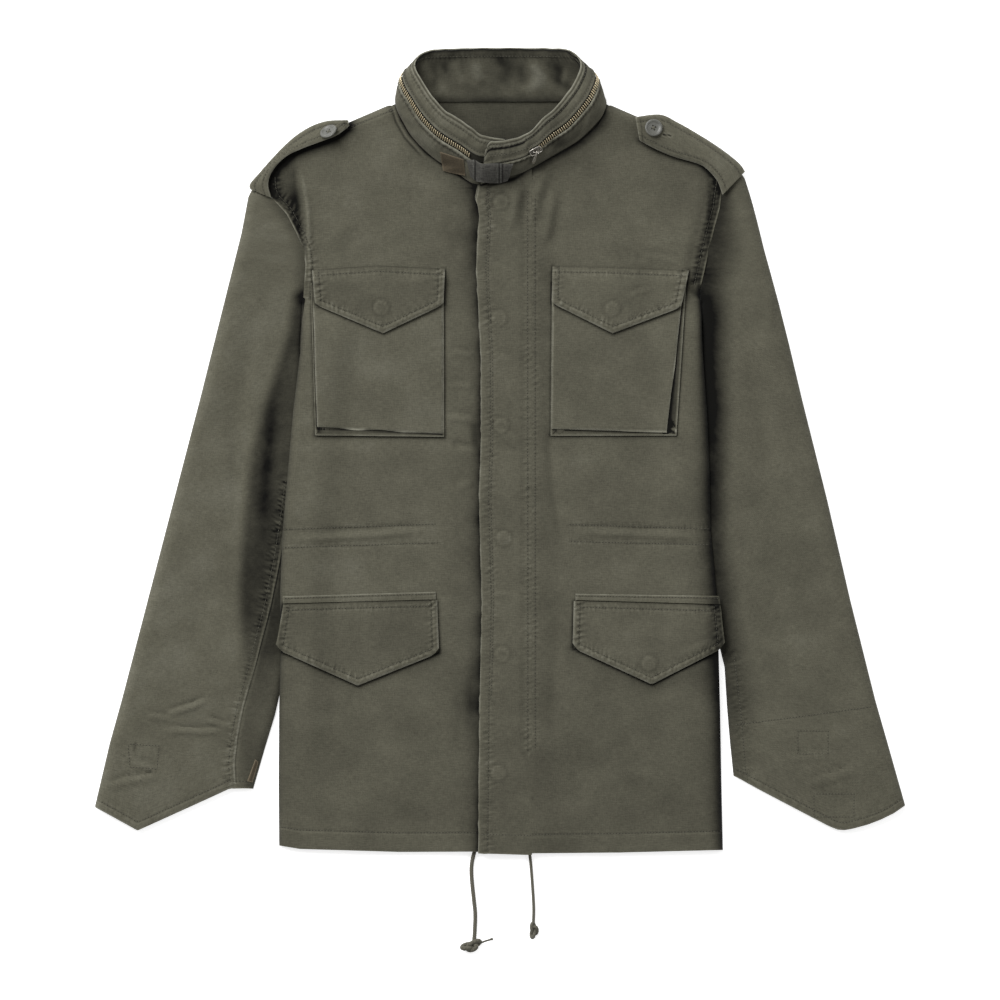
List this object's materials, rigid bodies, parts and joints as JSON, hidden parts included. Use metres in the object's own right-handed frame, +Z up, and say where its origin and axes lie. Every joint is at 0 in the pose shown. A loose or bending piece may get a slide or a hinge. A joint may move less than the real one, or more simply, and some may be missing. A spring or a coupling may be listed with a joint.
{
  "type": "field jacket",
  "caption": "Olive cotton field jacket laid flat on its back: stand collar with hood zip, storm flap, bellows pockets, epaulettes, pointed cuffs and hem drawcord.",
  "frame": {"origin": "on the surface the jacket lies on, under the middle of its outline without the hem drawcords", "axes": "+X towards the wearer's left sleeve, +Y towards the collar, +Z up off the surface"},
  "size_m": [0.808, 0.9044, 0.0378],
  "materials": {
    "olive_sateen": "matte cotton sateen",
    "zip_tape": "woven tape",
    "charcoal_webbing": "woven strap",
    "brown_hook_tape": "hook and loop tape",
    "grey_green_button": "satin",
    "antique_steel": "worn",
    "olive_braid": "braided cord"
  },
  "bodies": {
    "jacket": {"back": "olive_sateen", "front_right": "olive_sateen", "front_left": "olive_sateen", "storm_flap": "olive_sateen", "collar_lower": "olive_sateen", "collar_upper": "olive_sateen", "collar_inner": "olive_sateen", "hood_zip": "zip_tape", "hood_zip_slider": "antique_steel", "sleeve_right_upper": "olive_sateen", "sleeve_right_under": "olive_sateen", "sleeve_left_upper": "olive_sateen", "sleeve_left_under": "olive_sateen", "chest_face_right": "olive_sateen", "chest_gusset_right": "olive_sateen", "chest_flap_right": "olive_sateen", "chest_face_left": "olive_sateen", "chest_gusset_left": "olive_sateen", "chest_flap_left": "olive_sateen", "lower_welt_right": "olive_sateen", "lower_flap_right": "olive_sateen", "lower_welt_left": "olive_sateen", "lower_flap_left": "olive_sateen", "epaulette_right": "olive_sateen", "epaulette_left": "olive_sateen", "epaulette_button_right": "grey_green_button", "epaulette_button_left": "grey_green_button", "throat_pad": "brown_hook_tape", "throat_strap": "charcoal_webbing", "cuff_pad_right": "brown_hook_tape", "drawcord_right": "olive_braid", "drawcord_knot_right": "olive_braid", "drawcord_tail_right": "olive_braid", "drawcord_left": "olive_braid", "drawcord_knot_left": "olive_braid"},
    "zip_pull": {"hood_zip_pull": "antique_steel"}
  },
  "joints": [
    {"name": "pull_swing", "type": "hinge", "parent": "jacket", "child": "zip_pull", "pos_m": [0.03664, 0.2987, 0.03507], "axis": [-0.9451, -0.0408, 0.3243], "range_deg": [0, 150]}
  ]
}
